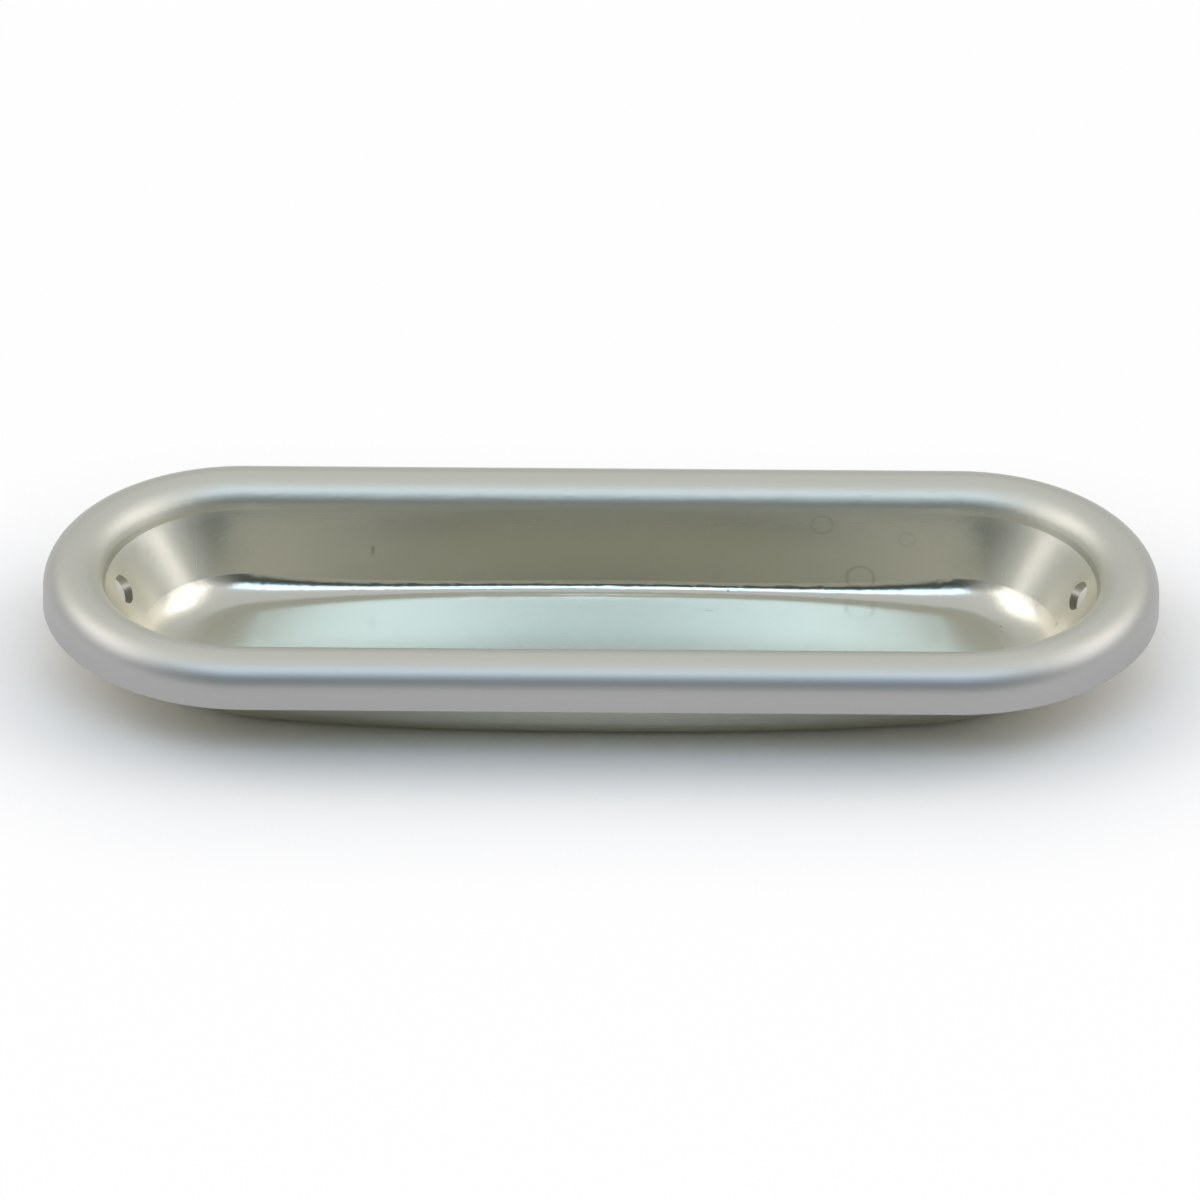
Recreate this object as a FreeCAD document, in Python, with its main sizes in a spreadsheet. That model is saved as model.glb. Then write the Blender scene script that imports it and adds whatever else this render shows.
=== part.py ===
import FreeCAD, Part
import math
import os
import Sketcher
from FreeCAD import Placement, Rotation, Vector

# Recessed pull handle: one drawn sheet-metal tray with a rolled hollow rim.
# Frame: origin at the middle of the pan's underside, X along the tray, Z out of the recess.
# Sizes are in millimetres and slopes in degrees.

doc = FreeCAD.newDocument("recessed_pull_handle")

# Driving dimensions
DIMENSIONS = [
    ("tray_length", 110.0, "overall length over the rim"),
    ("tray_width", 39.6, "overall width over the rim"),
    ("sheet_thickness", 0.9, "thickness of the metal sheet"),
    ("bead_radius", 2.95, "outer radius of the half-round rim"),
    ("crown_flat", 0.12, "flat along the crown, between the rim's two quarter rounds"),
    ("rim_height", 4.85, "skirt edge up to the crown of the rim"),
    ("pan_drop", 7.05, "skirt edge down to the underside of the pan"),
    ("side_draft", 7.5, "slope of the long walls at mid-length, from upright"),
    ("shoulder_draft", 18.6, "slope of the long walls where they meet the round ends, from upright"),
    ("rim_draft", 20.0, "slope of the rim's inner edge at the tips, from upright"),
    ("end_slope", 33.0, "slope of the end walls at the tips, from upright"),
    ("crease_drop", 0.15, "end of the rim's round down to the crease where the walls start"),
    ("floor_radius_middle", 1.2, "inside radius between floor and long wall, at mid-length"),
    ("floor_radius_shoulder", 3.0, "inside radius where a long wall meets a round end"),
    ("floor_radius_tip", 6.0, "inside radius at the tips"),
    ("hole_diameter", 3.0, "fixing pin hole"),
    ("hole_drop", 2.4, "crease down to the centre of a fixing hole"),
    ("hole_swing", 12.0, "plan angle from the tray's long axis to a fixing hole"),
]

dimensions = doc.addObject("Spreadsheet::Sheet", "Dimensions")
for row, (alias, number, meaning) in enumerate(DIMENSIONS, start=1):
    dimensions.set(f"A{row}", alias)
    dimensions.set(f"B{row}", str(number))
    dimensions.set(f"C{row}", meaning)
    dimensions.setAlias(f"B{row}", alias)

# Sections of the tray, worked out from the driving dimensions
sections = doc.addObject("Spreadsheet::Sheet", "Sections")
formulas = []


def derive(alias, formula):
    """Give the next cell of the sections sheet a formula and a name."""
    formulas.append(alias)
    row = len(formulas)
    sections.set(f"A{row}", alias)
    sections.set(f"B{row}", "=" + formula)
    sections.setAlias(f"B{row}", alias)


def size(sheet, alias):
    """The plain number in a named cell."""
    cell = sheet.get(alias)
    return float(getattr(cell, "Value", cell))


derive("half_straight", "(Dimensions.tray_length - Dimensions.tray_width) / 2")
derive("crown", "Dimensions.pan_drop + Dimensions.rim_height")
derive(
    "crease",
    "Dimensions.pan_drop + Dimensions.rim_height - Dimensions.crease_drop"
    " - Dimensions.bead_radius * (1 - sin(Dimensions.side_draft))",
)
derive("bead_inset", "Dimensions.crown_flat + Dimensions.bead_radius")
derive("core_depth", "2 * Dimensions.sheet_thickness")
derive("drill_length", "4 * Dimensions.sheet_thickness")


# Every outline has eight edges, with a corner at mid-length on each side and at each tip, so
# that a radius can be given at those places.
START, END, CENTRE = 1, 2, 3
ORIGIN, X_AXIS, Y_AXIS = -1, -1, -2


def level_sketch(body, name, height):
    """Start a level sketch at a height."""
    ground = next(f for f in body.Origin.OriginFeatures if f.Role == "XY_Plane")
    sketch = body.newObject("Sketcher::SketchObject", name)
    sketch.AttachmentSupport = [(ground, "")]
    sketch.MapMode = "FlatFace"
    sketch.setExpression("AttachmentOffset.Base.z", height)
    return sketch


def fix(sketch, rule, formula):
    """Add a rule whose size comes from a formula."""
    number = sketch.addConstraint(rule)
    sketch.setExpression(f"Constraints[{number}]", formula)


def slot(body, name, height, half_width, reach):
    """Sketch a stadium at a height, with its half width and its reach to the tips."""
    sketch = level_sketch(body, name, height)
    # drawn first near its place, then tied to its sizes
    wide = size(dimensions, "tray_width") / 2
    straight = size(sections, "half_straight")
    quarter = math.pi / 2
    corners = [(0, -wide), (straight, -wide), (straight, wide), (0, wide)]
    corners += [(-straight, wide), (-straight, -wide)]
    spots = [Vector(x, y, 0) for x, y in corners]
    right = Part.Circle(Vector(straight, 0, 0), Vector(0, 0, 1), wide)
    left = Part.Circle(Vector(-straight, 0, 0), Vector(0, 0, 1), wide)
    pieces = [
        Part.LineSegment(spots[0], spots[1]),
        Part.ArcOfCircle(right, -quarter, 0),
        Part.ArcOfCircle(right, 0, quarter),
        Part.LineSegment(spots[2], spots[3]),
        Part.LineSegment(spots[3], spots[4]),
        Part.ArcOfCircle(left, quarter, 2 * quarter),
        Part.ArcOfCircle(left, 2 * quarter, 3 * quarter),
        Part.LineSegment(spots[5], spots[0]),
    ]
    sketch.addGeometry(pieces, False)
    rules = [
        Sketcher.Constraint("Coincident", k, END, (k + 1) % len(pieces), START)
        for k in range(len(pieces))
    ]
    rules += [
        Sketcher.Constraint("PointOnObject", 0, START, Y_AXIS),
        Sketcher.Constraint("PointOnObject", 3, END, Y_AXIS),
        Sketcher.Constraint("PointOnObject", 1, END, X_AXIS),
        Sketcher.Constraint("PointOnObject", 5, END, X_AXIS),
        Sketcher.Constraint("PointOnObject", 1, CENTRE, X_AXIS),
        Sketcher.Constraint("Coincident", 2, CENTRE, 1, CENTRE),
        Sketcher.Constraint("Coincident", 6, CENTRE, 5, CENTRE),
        Sketcher.Constraint("Symmetric", 1, CENTRE, 5, CENTRE, ORIGIN, START),
        Sketcher.Constraint("Horizontal", 0),
        Sketcher.Constraint("Horizontal", 3),
        Sketcher.Constraint("Horizontal", 4),
        Sketcher.Constraint("Vertical", 1, CENTRE, 1, START),
        Sketcher.Constraint("Vertical", 2, CENTRE, 2, END),
        Sketcher.Constraint("Vertical", 5, CENTRE, 5, START),
        Sketcher.Constraint("Vertical", 6, CENTRE, 6, END),
    ]
    sketch.addConstraint(rules)
    fix(sketch, Sketcher.Constraint("Radius", 1, wide), half_width)
    tip = Sketcher.Constraint("DistanceX", ORIGIN, START, 1, END, straight + wide)
    fix(sketch, tip, reach)
    return sketch


def bowed_slot(body, skin):
    """Sketch a skin's floor: a stadium whose long sides bow out, each side one arc tangent to the ends."""
    sketch = level_sketch(body, f"{skin}_floor_outline", f"Sections.{skin}_floor")
    wide = size(sections, f"{skin}_floor_width")
    long = size(sections, f"{skin}_floor_reach")
    flat = size(sections, f"{skin}_side_radius")
    end_radius = size(sections, f"{skin}_end_radius")
    quarter = math.pi / 2
    bend = math.atan((long - end_radius) / (flat - wide))
    up = Vector(0, 0, 1)
    front = Part.Circle(Vector(0, flat - wide, 0), up, flat)
    rear = Part.Circle(Vector(0, wide - flat, 0), up, flat)
    right = Part.Circle(Vector(long - end_radius, 0, 0), up, end_radius)
    left = Part.Circle(Vector(end_radius - long, 0, 0), up, end_radius)
    pieces = [
        Part.ArcOfCircle(front, -quarter, bend - quarter),
        Part.ArcOfCircle(right, bend - quarter, 0),
        Part.ArcOfCircle(right, 0, quarter - bend),
        Part.ArcOfCircle(rear, quarter - bend, quarter),
        Part.ArcOfCircle(rear, quarter, quarter + bend),
        Part.ArcOfCircle(left, quarter + bend, 2 * quarter),
        Part.ArcOfCircle(left, 2 * quarter, 3 * quarter - bend),
        Part.ArcOfCircle(front, 3 * quarter - bend, 3 * quarter),
    ]
    sketch.addGeometry(pieces, False)
    # the right rear quarter holds the sizes, and each next quarter mirrors its neighbour
    rules = []
    for k in (1, 3, 5, 7):
        following = (k + 1) % len(pieces)
        rules.append(Sketcher.Constraint("Coincident", k, END, following, START))
        rules.append(Sketcher.Constraint("Coincident", k, CENTRE, following, CENTRE))
    rules += [Sketcher.Constraint("Tangent", k, END, k + 1, START) for k in (0, 2, 4)]
    rules += [
        Sketcher.Constraint("PointOnObject", 3, CENTRE, Y_AXIS),
        Sketcher.Constraint("PointOnObject", 3, END, Y_AXIS),
        Sketcher.Constraint("PointOnObject", 0, CENTRE, Y_AXIS),
        Sketcher.Constraint("PointOnObject", 0, START, Y_AXIS),
        Sketcher.Constraint("PointOnObject", 2, CENTRE, X_AXIS),
        Sketcher.Constraint("PointOnObject", 2, START, X_AXIS),
        Sketcher.Constraint("PointOnObject", 5, CENTRE, X_AXIS),
        Sketcher.Constraint("PointOnObject", 5, END, X_AXIS),
        Sketcher.Constraint("Vertical", 2, END, 1, START),
        Sketcher.Constraint("Horizontal", 0, END, 7, START),
        Sketcher.Constraint("Horizontal", 3, START, 4, END),
        Sketcher.Constraint("Vertical", 5, START, 6, END),
    ]
    sketch.addConstraint(rules)
    fix(sketch, Sketcher.Constraint("Radius", 3, flat), f"Sections.{skin}_side_radius")
    side = Sketcher.Constraint("DistanceY", ORIGIN, START, 3, END, wide)
    fix(sketch, side, f"Sections.{skin}_floor_width")
    tip = Sketcher.Constraint("DistanceX", ORIGIN, START, 1, END, long)
    fix(sketch, tip, f"Sections.{skin}_floor_reach")
    return sketch


def pad(body, name, sketch, length):
    """Raise a sketch by a length."""
    raised = body.newObject("PartDesign::Pad", name)
    raised.Profile = sketch
    raised.setExpression("Length", length)
    raised.Refine = False
    return raised


LEVEL = 1e-5


def edges_at(shape, height):
    """Numbers of the level edges of a shape at a height."""
    return [
        number
        for number, edge in enumerate(shape.Edges, start=1)
        if abs(edge.BoundBox.ZMin - height) < LEVEL and abs(edge.BoundBox.ZMax - height) < LEVEL
    ]


# The tray is what lies between two skins: the visible one, and the same skin sunk by one
# sheet thickness into the metal. Each is modelled as the top of a solid with a drawn hollow.
def skin_sections(skin, depth):
    """Work out the sections of one skin, sunk by a depth from the visible one."""
    side, shoulder = "Dimensions.side_draft", "Dimensions.shoulder_draft"
    rim, end = "Dimensions.rim_draft", "Dimensions.end_slope"
    derive(f"{skin}_bead_radius", f"Dimensions.bead_radius - {depth}")
    derive(f"{skin}_crown", f"Sections.crown - {depth}")
    derive(
        f"{skin}_crease",
        f"Sections.crease - {depth} * sin(({rim} + {end}) / 2) / cos(({end} - {rim}) / 2)",
    )
    derive(f"{skin}_floor", f"Dimensions.sheet_thickness - {depth}")
    derive(
        f"{skin}_crown_width",
        "Dimensions.tray_width / 2 - Sections.bead_inset"
        f" - Sections.{skin}_bead_radius * tan(45 - {side} / 2)",
    )
    derive(
        f"{skin}_crown_reach",
        "Dimensions.tray_length / 2 - Sections.bead_inset"
        f" - Sections.{skin}_bead_radius * tan(45 - {rim} / 2)",
    )
    derive(
        f"{skin}_crease_width",
        f"Sections.{skin}_crown_width"
        f" - (Sections.{skin}_crown - Sections.{skin}_crease) * tan({side})",
    )
    derive(
        f"{skin}_crease_reach",
        f"Sections.{skin}_crown_reach"
        f" - (Sections.{skin}_crown - Sections.{skin}_crease) * tan({rim})",
    )
    derive(
        f"{skin}_floor_width",
        f"Sections.{skin}_crease_width"
        f" - (Sections.{skin}_crease - Sections.{skin}_floor) * tan({side})",
    )
    derive(
        f"{skin}_floor_reach",
        f"Sections.{skin}_crease_reach"
        f" - (Sections.{skin}_crease - Sections.{skin}_floor) * tan({end})",
    )
    derive(
        f"{skin}_bow",
        f"(Sections.{skin}_crease - Sections.{skin}_floor) * (tan({shoulder}) - tan({side}))",
    )
    derive(
        f"{skin}_side_radius",
        f"(Sections.half_straight ^ 2 + Sections.{skin}_bow ^ 2) / (2 * Sections.{skin}_bow)",
    )
    derive(
        f"{skin}_end_radius",
        f"(2 * Sections.{skin}_side_radius * Sections.{skin}_floor_width"
        f" - Sections.{skin}_floor_reach ^ 2 - Sections.{skin}_floor_width ^ 2)"
        f" / (2 * (Sections.{skin}_side_radius - Sections.{skin}_floor_reach))",
    )


skin_sections("visible", "0")
skin_sections("underside", "Dimensions.sheet_thickness")
doc.recompute()


def draw_hollow(body, skin):
    """Sink the pan into a block, round its rim over and blend its floor into its walls."""
    levels = [
        slot(
            body,
            f"{skin}_{level}_outline",
            f"Sections.{skin}_{level}",
            f"Sections.{skin}_{level}_width",
            f"Sections.{skin}_{level}_reach",
        )
        for level in ("crown", "crease")
    ]
    floor_outline = bowed_slot(body, skin)
    hollow = body.newObject("PartDesign::SubtractiveLoft", f"{skin}_hollow")
    hollow.Profile = levels[0]
    hollow.Sections = [(levels[1], [""]), (floor_outline, [""])]
    hollow.Ruled = True
    hollow.Refine = False
    body.Tip = hollow
    doc.recompute()
    crown_edges = edges_at(hollow.Shape, size(sections, f"{skin}_crown"))
    bead = body.newObject("PartDesign::Fillet", f"{skin}_bead")
    bead.Base = (hollow, [f"Edge{number}" for number in crown_edges])
    bead.setExpression("Radius", f"Sections.{skin}_bead_radius")
    bead.Refine = False
    body.Tip = bead
    doc.recompute()
    # the floor's radius grows from mid-length to the tips
    extra = size(sections, "crown") - size(sections, f"{skin}_crown")
    middle = size(dimensions, "floor_radius_middle") + extra
    shoulder = size(dimensions, "floor_radius_shoulder") + extra
    tip = size(dimensions, "floor_radius_tip") + extra
    blend = doc.addObject("Part::Fillet", f"{skin}_skin")
    blend.Base = body
    radii = []
    for number in edges_at(body.Shape, size(sections, f"{skin}_floor")):
        ends = []
        edge = body.Shape.Edges[number - 1]
        for corner in (edge.valueAt(edge.FirstParameter), edge.valueAt(edge.LastParameter)):
            if abs(corner.x) < LEVEL:
                ends.append(middle)
            elif abs(corner.y) < LEVEL:
                ends.append(tip)
            else:
                ends.append(shoulder)
        radii.append((number, ends[0], ends[1]))
    blend.Edges = radii
    return blend


# Visible skin: a rim block that ends at the skirt edge, on a narrower pan block below
visible_body = doc.addObject("PartDesign::Body", "visible_block")
pan_sketch = slot(
    visible_body,
    "pan_block_outline",
    "-Dimensions.sheet_thickness",
    "Dimensions.tray_width / 2 - Dimensions.bead_radius",
    "Dimensions.tray_length / 2 - Dimensions.bead_radius",
)
pad(
    visible_body,
    "pan_block",
    pan_sketch,
    "Dimensions.pan_drop + Dimensions.sheet_thickness",
)
rim_sketch = slot(
    visible_body,
    "rim_block_outline",
    "Dimensions.pan_drop",
    "Dimensions.tray_width / 2",
    "Dimensions.tray_length / 2",
)
pad(visible_body, "rim_block", rim_sketch, "Dimensions.rim_height")
visible_skin = draw_hollow(visible_body, "visible")

# Sunk skin: one block inside the skirt, long enough to open the tray from below
underside_body = doc.addObject("PartDesign::Body", "underside_block")
core_sketch = slot(
    underside_body,
    "core_block_outline",
    "-Sections.core_depth",
    "Dimensions.tray_width / 2 - Dimensions.sheet_thickness",
    "Dimensions.tray_length / 2 - Dimensions.sheet_thickness",
)
pad(
    underside_body,
    "core_block",
    core_sketch,
    "Sections.underside_crown + Sections.core_depth",
)
underside_skin = draw_hollow(underside_body, "underside")

pressed_sheet = doc.addObject("Part::Cut", "pressed_sheet")
pressed_sheet.Base = visible_skin
pressed_sheet.Tool = underside_skin
doc.recompute()

# Fixing holes: one through each end wall, square to the wall and swung towards +Y
swing = math.radians(size(dimensions, "hole_swing"))
wall_height = size(sections, "visible_crease") - size(sections, "visible_floor")
crease_round = size(sections, "visible_crease_width")
floor_round = size(sections, "visible_end_radius")
crease_centre = size(sections, "visible_crease_reach") - crease_round
floor_centre = size(sections, "visible_floor_reach") - floor_round
lean = crease_round - floor_round + (crease_centre - floor_centre) * math.cos(swing)
share = size(dimensions, "hole_drop") / wall_height
hole_round = crease_round + share * (floor_round - crease_round)
hole_x = crease_centre + share * (floor_centre - crease_centre) + hole_round * math.cos(swing)
hole_y = hole_round * math.sin(swing)
hole_z = size(sections, "visible_crease") - size(dimensions, "hole_drop")
outward = Vector(wall_height * math.cos(swing), wall_height * math.sin(swing), -lean).normalize()
half_drill = size(sections, "drill_length") / 2

drills = []
for name, side in (("left_drill", -1), ("right_drill", 1)):
    drill = doc.addObject("Part::Cylinder", name)
    drill.setExpression("Radius", "Dimensions.hole_diameter / 2")
    drill.setExpression("Height", "Sections.drill_length")
    axis = Vector(side * outward.x, outward.y, outward.z)
    middle_of_hole = Vector(side * hole_x, hole_y, hole_z)
    drill.Placement = Placement(middle_of_hole - axis * half_drill, Rotation(Vector(0, 0, 1), axis))
    drills.append(drill)

fixing_holes = doc.addObject("Part::MultiFuse", "fixing_holes")
fixing_holes.Shapes = drills

pull_tray = doc.addObject("Part::Cut", "pull_tray")
pull_tray.Base = pressed_sheet
pull_tray.Tool = fixing_holes
pull_tray.Label = "pull_tray"
pull_tray.Placement = Placement()
doc.recompute()

# Check everything, then write the part
for item in doc.Objects:
    if "Invalid" in item.State or "Error" in item.State:
        raise RuntimeError(f"{item.Name} did not build: {item.State}")
if pull_tray.Shape.isNull() or not pull_tray.Shape.isValid():
    raise RuntimeError("the tray is not a valid shape")
if len(pull_tray.Shape.Solids) != 1:
    raise RuntimeError("the tray is not one solid")

os.makedirs("parts", exist_ok=True)
pull_tray.Shape.exportStep(f"parts/{pull_tray.Label}.step")
print(pull_tray.Label, pull_tray.Shape.BoundBox, round(pull_tray.Shape.Volume, 3))
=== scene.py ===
"""Looks of a recessed pull handle: one stadium-shaped tray pressed from sheet metal and plated satin nickel.

Everything is in metres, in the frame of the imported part: +Z up, the long side along X, and the pan's
underside at z = 0.
"""

import math

import bpy
from mathutils import Matrix, Quaternion, Vector


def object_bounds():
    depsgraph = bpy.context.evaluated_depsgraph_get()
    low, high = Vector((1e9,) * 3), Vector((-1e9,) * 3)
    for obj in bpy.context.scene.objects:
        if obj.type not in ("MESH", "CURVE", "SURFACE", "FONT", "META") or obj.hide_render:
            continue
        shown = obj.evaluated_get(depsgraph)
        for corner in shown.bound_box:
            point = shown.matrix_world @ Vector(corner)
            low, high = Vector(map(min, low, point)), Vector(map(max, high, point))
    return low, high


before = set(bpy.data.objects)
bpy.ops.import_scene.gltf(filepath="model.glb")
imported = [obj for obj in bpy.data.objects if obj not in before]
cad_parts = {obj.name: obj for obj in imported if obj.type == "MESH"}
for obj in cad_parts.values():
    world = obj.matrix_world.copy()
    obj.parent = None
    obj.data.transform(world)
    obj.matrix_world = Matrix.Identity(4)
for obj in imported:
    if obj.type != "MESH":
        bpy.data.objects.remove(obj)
cad_low, cad_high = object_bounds()

MM = 0.001

# The tray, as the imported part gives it.
TRAY_LENGTH = cad_high.x - cad_low.x
TRAY_WIDTH = cad_high.y - cad_low.y


# Small helpers

def linear(hex_colour):
    """Turns an sRGB hex colour such as "d4cdc0" into linear RGBA."""
    channels = [int(hex_colour[i:i + 2], 16) / 255 for i in (0, 2, 4)]
    return [c / 12.92 if c <= 0.04045 else ((c + 0.055) / 1.055) ** 2.4 for c in channels] + [1.0]


def add_node(tree, kind, inputs=(), **settings):
    """Adds a node. Each input, by name or number, takes a value or the output of another node."""
    node = tree.nodes.new(kind)
    for name, value in settings.items():
        setattr(node, name, value)
    for name, value in dict(inputs).items():
        if isinstance(value, bpy.types.NodeSocket):
            tree.links.new(value, node.inputs[name])
        else:
            node.inputs[name].default_value = value
    return node


def new_material(name):
    """An empty node material, its node tree and its output node."""
    material = bpy.data.materials.new(name)
    material.use_nodes = True
    tree = material.node_tree
    tree.nodes.clear()
    return material, tree, tree.nodes.new("ShaderNodeOutputMaterial")


# Satin nickel

# The plan of the tray is a stadium: every line round it keeps one distance from its middle line,
# which runs between the centres of the two round ends.
HALF_STRAIGHT = (TRAY_LENGTH - TRAY_WIDTH) / 2

# The surface is rougher past the centres of the round ends, and on the rim.
PAN_ROUGHNESS = 0.20
END_ROUGHNESS = 0.29
RIM_ROUGHNESS = 0.48
END_FROM, END_TO = 1.5 * MM, 6.0 * MM       # past the end's centre
RIM_FROM, RIM_TO = 13.2 * MM, 14.4 * MM     # from the middle line

BLAST_GRAIN = 0.5 * MM      # real bead marks are finer, and are drawn as coarse as they show
BLAST_DEPTH = 0.01 * MM
BLAST_STRENGTH = 0.6
SKIRT_SHADE_WIDTH = 1.8 * MM       # the strip along the tray's edge that is coloured darker as painted shade

PLATE_COLOUR = "d0cfc2"
# the outer strip's colour is painted shade, darker than the plate itself
SKIRT_SHADE_COLOUR = "b2b2b0"
STAIN_COLOUR = "5a564a"

# The small marks that the photograph shows in the pan: the rings that dried drops leave, specks and nicks.
# Each has its centre and its reach along X, Y and Z in millimetres, whether it is a ring, and its strength.
MARKS = [
    ((21.78, 13.56, 8.07), (1.25, 1.25, 1.05), True, 0.16),
    ((25.60, 13.50, 7.85), (0.60, 0.60, 0.50), True, 0.12),
    ((30.20, 13.20, 6.70), (0.95, 0.95, 0.80), True, 0.14),
    ((25.60, 12.40, 2.70), (1.60, 1.60, 1.40), True, 0.18),
    ((-22.55, 12.93, 5.17), (0.35, 0.60, 0.80), False, 0.30),
    ((12.55, 12.20, 1.25), (0.20, 0.25, 0.20), False, 0.60),
    ((10.80, 8.90, 0.90), (0.38, 0.09, 0.20), False, 0.55),
    ((10.45, 9.10, 0.90), (0.08, 0.30, 0.20), False, 0.50),
    ((39.50, 6.10, 1.15), (0.20, 0.22, 0.20), False, 0.80),
    ((44.90, 2.60, 3.60), (0.70, 0.45, 0.35), False, 0.25),
]
RING_LINE = 0.85            # where the line of a ring runs, as a share of its reach
RING_SHARPNESS = 6.0
MARK_EDGE, MARK_FULL = 1.0, 0.2
FACING_UP = 0.05            # how far up a face's normal has to point to show a mark in full


def past_end(tree, axes):
    """How far a point lies past the centre of the nearer round end, along the tray."""
    along = add_node(tree, "ShaderNodeMath", {0: axes.outputs["X"]}, operation="ABSOLUTE")
    past = add_node(tree, "ShaderNodeMath", {0: along.outputs["Value"], 1: HALF_STRAIGHT},
                    operation="SUBTRACT")
    return past.outputs["Value"]


def stadium_distance(tree, axes):
    """Plan distance from the tray's middle line."""
    past_centre = add_node(tree, "ShaderNodeMath", {0: past_end(tree, axes), 1: 0.0}, operation="MAXIMUM")
    plan = add_node(tree, "ShaderNodeCombineXYZ", {"X": past_centre.outputs["Value"], "Y": axes.outputs["Y"]})
    distance = add_node(tree, "ShaderNodeVectorMath", {"Vector": plan.outputs["Vector"]}, operation="LENGTH")
    return distance.outputs["Value"]


def mark_share(tree, point, centre, reach, ring, strength):
    """How much of a mark covers a point: a filled soft spot, or only the line round it."""
    offset = add_node(tree, "ShaderNodeVectorMath", {0: point, 1: [c * MM for c in centre]},
                      operation="SUBTRACT")
    scaled = add_node(tree, "ShaderNodeVectorMath", {0: offset.outputs["Vector"], 1: [r * MM for r in reach]},
                      operation="DIVIDE")
    away = add_node(tree, "ShaderNodeVectorMath", {0: scaled.outputs["Vector"]}, operation="LENGTH")
    if ring:
        inward = add_node(tree, "ShaderNodeMath", {0: away.outputs["Value"], 1: RING_LINE},
                          operation="SUBTRACT")
        beside = add_node(tree, "ShaderNodeMath", {0: inward.outputs["Value"]}, operation="ABSOLUTE")
        away = add_node(tree, "ShaderNodeMath", {0: beside.outputs["Value"], 1: RING_SHARPNESS},
                        operation="MULTIPLY")
    share = add_node(tree, "ShaderNodeMapRange",
                     {"Value": away.outputs["Value"], "From Min": MARK_EDGE, "From Max": MARK_FULL,
                      "To Max": strength},
                     interpolation_type="SMOOTHSTEP")
    return share.outputs["Result"]


def satin_nickel():
    """Nickel plate over steel sheet, blasted with fine glass beads before plating.

    The eye sees a soft, slightly warm grey metal without a grain direction. The rolled rim spreads its
    highlights wide, and the pan, which the drawing die pressed smoother, mirrors the room more sharply.
    """
    material, tree, output = new_material("satin_nickel_plate")
    place = add_node(tree, "ShaderNodeTexCoord")
    axes = add_node(tree, "ShaderNodeSeparateXYZ", {"Vector": place.outputs["Object"]})
    from_middle = stadium_distance(tree, axes)
    pan = add_node(tree, "ShaderNodeMapRange",
                   {"Value": past_end(tree, axes), "From Min": END_FROM, "From Max": END_TO,
                    "To Min": PAN_ROUGHNESS, "To Max": END_ROUGHNESS},
                   interpolation_type="SMOOTHSTEP")
    sheen = add_node(tree, "ShaderNodeMapRange",
                     {"Value": from_middle, "From Min": RIM_FROM, "From Max": RIM_TO,
                      "To Min": pan.outputs["Result"], "To Max": RIM_ROUGHNESS},
                     interpolation_type="SMOOTHSTEP")
    grain = add_node(tree, "ShaderNodeTexNoise",
                     {"Vector": place.outputs["Object"], "Scale": 1 / BLAST_GRAIN, "Detail": 2.0})
    dent = add_node(tree, "ShaderNodeBump",
                    {"Height": grain.outputs["Fac"], "Strength": BLAST_STRENGTH, "Distance": BLAST_DEPTH})
    # painted shade: the outer side of the rim is coloured a little darker, standing in for a dimmer
    # reflection of the floor
    skirt_shade = add_node(tree, "ShaderNodeMapRange",
                          {"Value": from_middle, "From Min": TRAY_WIDTH / 2 - SKIRT_SHADE_WIDTH,
                           "From Max": TRAY_WIDTH / 2},
                          interpolation_type="SMOOTHSTEP")
    colour = add_node(tree, "ShaderNodeMixRGB",
                      {"Fac": skirt_shade.outputs["Result"], "Color1": linear(PLATE_COLOUR),
                       "Color2": linear(SKIRT_SHADE_COLOUR)})
    # the marks lie on the faces that look up, not on the same places of the sheet's other side
    facing = add_node(tree, "ShaderNodeSeparateXYZ", {"Vector": place.outputs["Normal"]})
    upward = add_node(tree, "ShaderNodeMapRange", {"Value": facing.outputs["Z"], "From Max": FACING_UP})
    for centre, reach, ring, strength in MARKS:
        share = mark_share(tree, place.outputs["Object"], centre, reach, ring, strength)
        stain = add_node(tree, "ShaderNodeMath", {0: share, 1: upward.outputs["Result"]},
                         operation="MULTIPLY")
        colour = add_node(tree, "ShaderNodeMixRGB",
                          {"Fac": stain.outputs["Value"], "Color1": colour.outputs["Color"],
                           "Color2": linear(STAIN_COLOUR)})
    metal = add_node(tree, "ShaderNodeBsdfPrincipled",
                     {"Metallic": 1.0, "Base Color": colour.outputs["Color"],
                      "Roughness": sheen.outputs["Result"], "Normal": dent.outputs["Normal"]})
    tree.links.new(metal.outputs["BSDF"], output.inputs["Surface"])
    return material


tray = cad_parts["pull_tray"]
for slot in tray.material_slots:
    slot.material = satin_nickel()


# Floor

FLOOR_SIDE = 12.0
FLOOR_DROP = 0.02 * MM      # so that the floor and the pan's flat underside don't share a plane
SHADOW_REACH = 25 * MM      # how far from the tray the card's own colour and shadow show
WHITE_SHARE = 0.9


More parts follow.
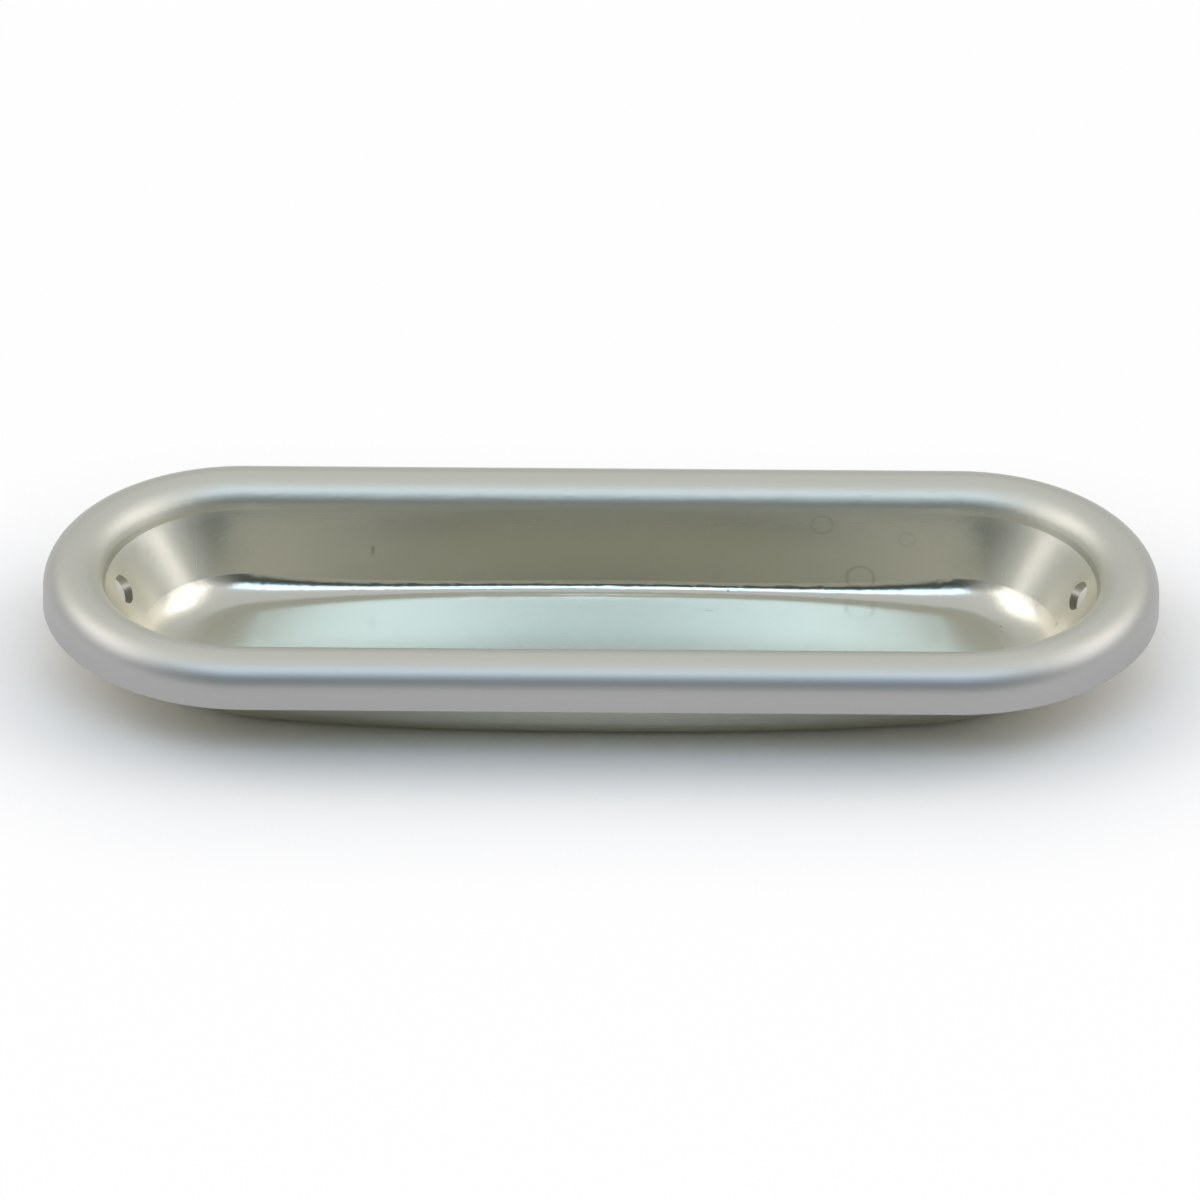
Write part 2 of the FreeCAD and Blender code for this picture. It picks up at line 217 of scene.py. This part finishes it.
def white_card():
    """Matt white card: a plain pale floor that keeps the tray's soft shadow.

    Away from the tray its own colour gives way to plain white, so the picture has a white background.
    """
    material, tree, output = new_material("matt_white_card")
    card = add_node(tree, "ShaderNodeBsdfDiffuse", {"Color": linear("fbf8f1")})
    white = add_node(tree, "ShaderNodeEmission", {"Strength": 1.0})
    place = add_node(tree, "ShaderNodeTexCoord")
    axes = add_node(tree, "ShaderNodeSeparateXYZ", {"Vector": place.outputs["Object"]})
    away = add_node(tree, "ShaderNodeMapRange",
                    {"Value": stadium_distance(tree, axes), "From Min": TRAY_WIDTH / 2,
                     "From Max": TRAY_WIDTH / 2 + SHADOW_REACH, "To Max": WHITE_SHARE},
                    interpolation_type="SMOOTHSTEP")
    path = add_node(tree, "ShaderNodeLightPath")
    mirrored = add_node(tree, "ShaderNodeMath",
                        {0: path.outputs["Is Glossy Ray"], 1: path.outputs["Is Transmission Ray"]},
                        operation="MAXIMUM")
    seen = add_node(tree, "ShaderNodeMath",
                    {0: path.outputs["Is Camera Ray"], 1: mirrored.outputs["Value"]}, operation="MAXIMUM")
    share = add_node(tree, "ShaderNodeMath",
                     {0: seen.outputs["Value"], 1: away.outputs["Result"]}, operation="MULTIPLY")
    mix = add_node(tree, "ShaderNodeMixShader",
                   {"Fac": share.outputs["Value"], 1: card.outputs["BSDF"], 2: white.outputs["Emission"]})
    tree.links.new(mix.outputs["Shader"], output.inputs["Surface"])
    return material


bpy.ops.mesh.primitive_plane_add(size=FLOOR_SIDE, location=(0, 0, -FLOOR_DROP))
floor = bpy.context.object
floor.name = "floor"
floor.data.materials.append(white_card())


# Light

LAMP_DISTANCE = 0.8


def direction(side, elevation):
    """Unit vector. Side is the angle round from the camera's side (-Y) towards +X, in degrees."""
    a, e = math.radians(side), math.radians(elevation)
    return Vector((math.sin(a) * math.cos(e), -math.cos(a) * math.cos(e), math.sin(e)))


def softbox(name, side, elevation, width, height, colour, radiance, turn=0):
    """A soft box that faces the tray. Radiance is how bright its face looks, where 1 is white.

    Turn tips the box in its own plane, in degrees.
    """
    light = bpy.data.lights.new(name, "AREA")
    light.shape = "RECTANGLE"
    light.size = width
    light.size_y = height
    light.color = linear(colour)[:3]
    light.energy = radiance * math.pi * width * height
    towards = direction(side, elevation)
    lamp = bpy.data.objects.new(name, light)
    lamp.location = towards * LAMP_DISTANCE
    facing = towards.to_track_quat("Z", "Y")
    lamp.rotation_euler = (facing @ Quaternion((0, 0, 1), math.radians(turn))).to_euler()
    bpy.context.scene.collection.objects.link(lamp)


softbox("front_panel", side=0, elevation=55, width=0.77, height=0.31, colour="b9daff", radiance=2.1)
softbox("left_lamp", side=-92, elevation=34, width=0.72, height=0.40, colour="fdf7f8", radiance=1.65,
        turn=-20)
softbox("right_lamp", side=92, elevation=33, width=0.72, height=0.42, colour="fdf7f8", radiance=1.65,
        turn=20)

LOWER_WALLS = "b0b4b6"
# The other tones of the room. Each covers the ones before it, within its ranges: an angle, and the degrees
# between which the tone comes in. The turn is 0 at the back and 180 on the camera's side.
UPPER_WALLS = ("e3e4e8", [("elevation", 5, 35)])
CEILING = ("dddfe4", [("elevation", 45, 75)])
LOW_FRONT = ("868b8a", [("turn", 110, 155), ("elevation", 50, 20)])
DARK_SCREEN = ("39453f", [("turn", 125, 160), ("elevation", 10, 20), ("elevation", 50, 42)])


def studio_room():
    """The room round the tray: pale, with a dark screen on the camera's side, below the front panel."""
    world = bpy.data.worlds.new("studio_room")
    world.use_nodes = True
    tree = world.node_tree
    tree.nodes.clear()
    output = tree.nodes.new("ShaderNodeOutputWorld")
    place = add_node(tree, "ShaderNodeTexCoord")
    axes = add_node(tree, "ShaderNodeSeparateXYZ", {"Vector": place.outputs["Generated"]})
    elevation = add_node(tree, "ShaderNodeMath", {0: axes.outputs["Z"]}, operation="ARCSINE")
    side = add_node(tree, "ShaderNodeMath", {0: axes.outputs["X"], 1: axes.outputs["Y"]},
                    operation="ARCTAN2")
    turn = add_node(tree, "ShaderNodeMath", {0: side.outputs["Value"]}, operation="ABSOLUTE")
    angles = {"elevation": elevation.outputs["Value"], "turn": turn.outputs["Value"]}
    wall = linear(LOWER_WALLS)
    for colour, ranges in (UPPER_WALLS, CEILING, LOW_FRONT, DARK_SCREEN):
        share = 1.0
        for angle, none_at, full_at in ranges:
            within = add_node(tree, "ShaderNodeMapRange",
                              {"Value": angles[angle], "From Min": math.radians(none_at),
                               "From Max": math.radians(full_at), "To Max": share},
                              interpolation_type="SMOOTHSTEP")
            share = within.outputs["Result"]
        cover = add_node(tree, "ShaderNodeMixRGB", {"Fac": share, "Color1": wall, "Color2": linear(colour)})
        wall = cover.outputs["Color"]
    light = add_node(tree, "ShaderNodeBackground", {"Color": wall})
    tree.links.new(light.outputs["Background"], output.inputs["Surface"])
    return world


bpy.context.scene.world = studio_room()


# Camera

# The camera's place was found by fitting the tray's outline to the photograph. Angles are in radians.
CAMERA_DISTANCE = 4.583
CAMERA_ELEVATION = 0.56056
CAMERA_SWING = -0.00152
CAMERA_ROLL = 0.00796
LOOKED_AT = Vector((-0.106, 0.0, 7.648)) * MM
PICTURE_SIDE = 1200         # pixels
PIXELS_PER_MM = 10.149
SENSOR_WIDTH = 36.0         # millimetres, as Blender gives it

back = Vector((math.sin(CAMERA_SWING) * math.cos(CAMERA_ELEVATION),
               -math.cos(CAMERA_SWING) * math.cos(CAMERA_ELEVATION),
               math.sin(CAMERA_ELEVATION)))
right = (-back).cross(Vector((0, 0, 1))).normalized()
up = right.cross(-back)
camera_x = math.cos(CAMERA_ROLL) * right + math.sin(CAMERA_ROLL) * up
camera_y = -math.sin(CAMERA_ROLL) * right + math.cos(CAMERA_ROLL) * up
camera_data = bpy.data.cameras.new("camera")
camera_data.sensor_width = SENSOR_WIDTH
camera_data.lens = SENSOR_WIDTH * PIXELS_PER_MM * CAMERA_DISTANCE / MM / PICTURE_SIDE
camera_data.clip_start = 0.1
camera_data.clip_end = 20.0
camera = bpy.data.objects.new("camera", camera_data)
camera.matrix_world = Matrix.Translation(LOOKED_AT + back * CAMERA_DISTANCE) @ Matrix(
    (camera_x, camera_y, back)).transposed().to_4x4()
bpy.context.scene.collection.objects.link(camera)
bpy.context.scene.camera = camera
bpy.context.scene.view_settings.view_transform = "Standard"
